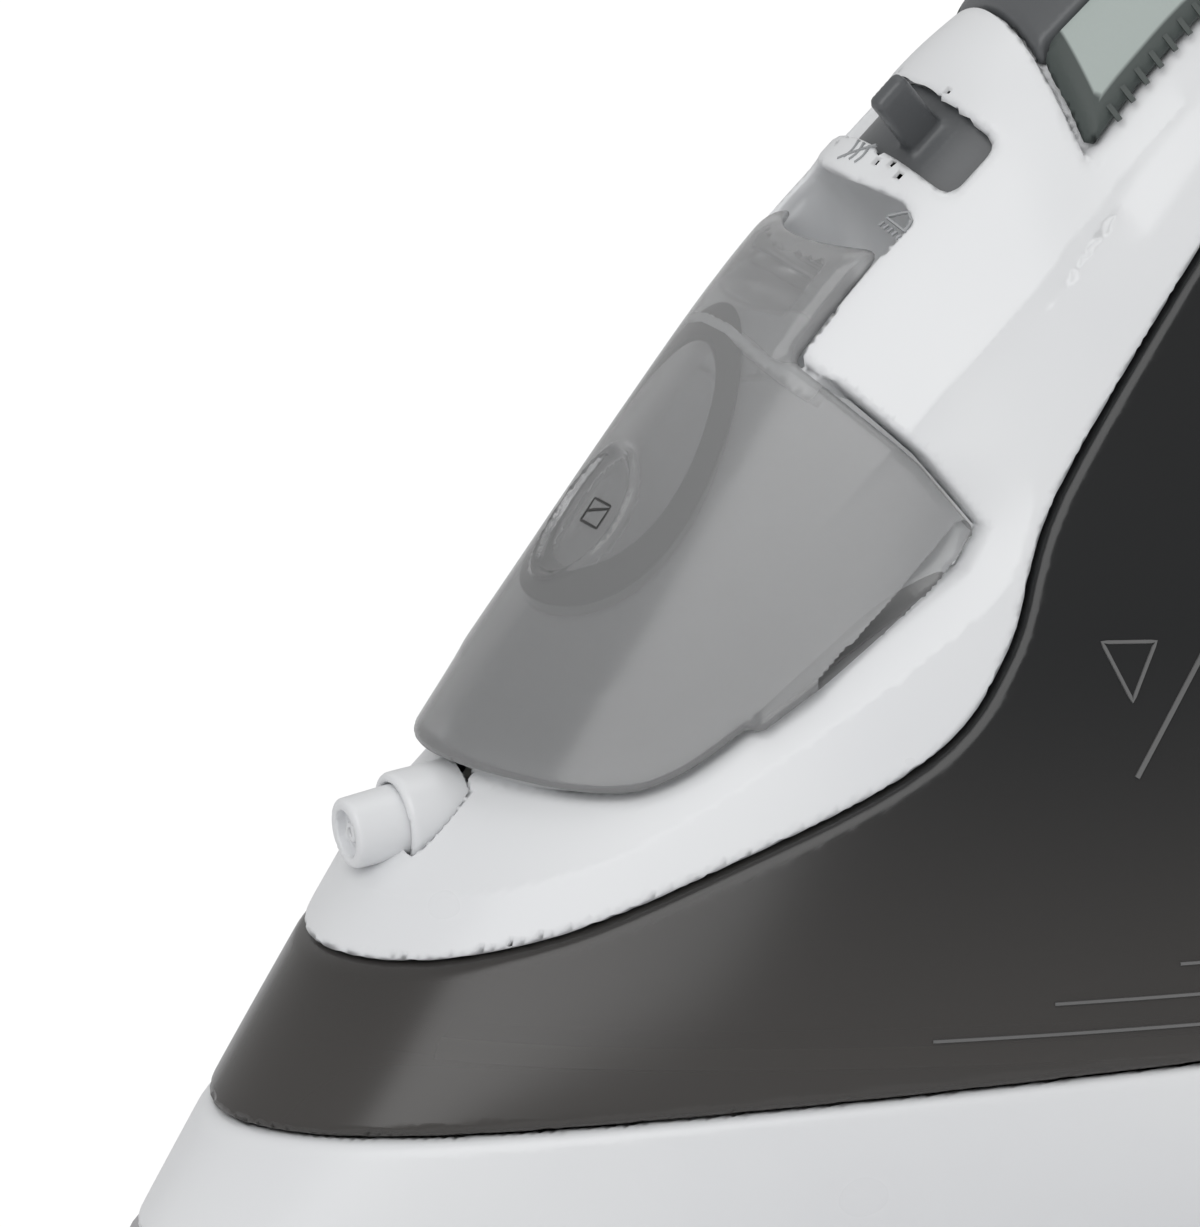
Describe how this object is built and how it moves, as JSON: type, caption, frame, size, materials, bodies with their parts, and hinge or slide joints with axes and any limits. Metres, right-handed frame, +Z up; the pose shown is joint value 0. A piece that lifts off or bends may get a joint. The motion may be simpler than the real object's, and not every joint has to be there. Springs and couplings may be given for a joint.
{
  "type": "steam iron",
  "caption": "Steam iron with smoky water tank, hinged filling lid, spray nozzle, steam lever in a curved slot, push buttons, temperature dial and open grip",
  "frame": {"origin": "centre of the iron's box at the underside of the sole", "axes": "+X towards the heel (the nose points to -X), +Y across, +Z up from the sole"},
  "size_m": [0.284, 0.1184, 0.152],
  "materials": {
    "amber": "clear",
    "brass": "plain",
    "cast": "as cast",
    "ceramic": "plain",
    "dark": "satin",
    "grey": "satin",
    "grip": "soft touch",
    "natural": "plain",
    "red": "satin",
    "rubber": "plain",
    "smoke": "clear smoky plastic",
    "sole": "polished",
    "steel": "satin",
    "white": "satin"
  },
  "bodies": {
    "base": {"burst_bellows": "rubber", "button_panel": "grey", "chamber_cover": "steel", "chamber_screws": "steel", "clamp_screws": "steel", "cord_clamp": "natural", "cord_gland": "rubber", "dial_bezel": "white", "element_pins": "steel", "fill_funnel": "dark", "grip_insert": "grip", "heating_element": "steel", "lever_bearings": "natural", "lever_pin": "steel", "lid_hinge_pin": "steel", "nozzle_collar": "white", "pilot_lamp": "amber", "pilot_lens": "amber", "power_leads": "rubber", "pump_intake": "natural", "rear_bracket": "natural", "rear_cover": "white", "rear_screws": "steel", "shaft_tube": "natural", "skirt": "white", "sole_casting": "cast", "sole_screws": "steel", "soleplate": "sole", "spray_bellows": "rubber", "spray_nozzle": "white", "spray_pump": "natural", "spray_tube": "natural", "steam_pump": "natural", "tank_floor": "natural", "tank_seal": "rubber", "tank_shell": "smoke", "terminal_block": "natural", "thermal_fuse": "steel", "thermostat_base": "ceramic", "thermostat_blades": "brass", "upper_housing": "white", "valve_body": "brass", "valve_guide": "red"},
    "lid": {"fill_lid": "smoke", "lid_seal": "rubber"},
    "lever": {"steam_lever": "grey"},
    "valve": {"valve_rod": "brass"},
    "spray_key": {"spray_button": "grey", "spray_piston": "natural"},
    "burst_key": {"burst_button": "grey", "burst_piston": "natural"},
    "dial": {"temperature_dial": "grey", "dial_shaft": "steel"}
  },
  "joints": [
    {"name": "lid_hinge", "type": "hinge", "parent": "base", "child": "lid", "pos_m": [-0.067, 0, 0.094], "axis": [0, 1, 0], "range_deg": [0, 65]},
    {"name": "steam_lever_turn", "type": "hinge", "parent": "base", "child": "lever", "pos_m": [-0.04928, 0, 0.09902], "axis": [0.7317, 0, 0.6816], "range_deg": [-50, 16]},
    {"name": "valve_lift", "type": "slide", "parent": "base", "child": "valve", "axis": [0, 0, 1], "range_m": [-0.00057, 0.00179]},
    {"name": "spray_press", "type": "slide", "parent": "base", "child": "spray_key", "axis": [0, 0, -1], "range_m": [0, 0.003], "stiffness_N_per_m": 900, "springref_m": -0.001, "deforming": ["spray_bellows"]},
    {"name": "burst_press", "type": "slide", "parent": "base", "child": "burst_key", "axis": [0, 0, -1], "range_m": [0, 0.003], "stiffness_N_per_m": 900, "springref_m": -0.001, "deforming": ["burst_bellows"]},
    {"name": "dial_turn", "type": "hinge", "parent": "base", "child": "dial", "pos_m": [0.026, 0, 0.083], "axis": [0, 0, 1], "range_deg": [-140, 140]}
  ],
  "couplings": [
    {"joint": "steam_lever_turn", "follows": "valve_lift", "rad_per_m": -484.81}
  ]
}
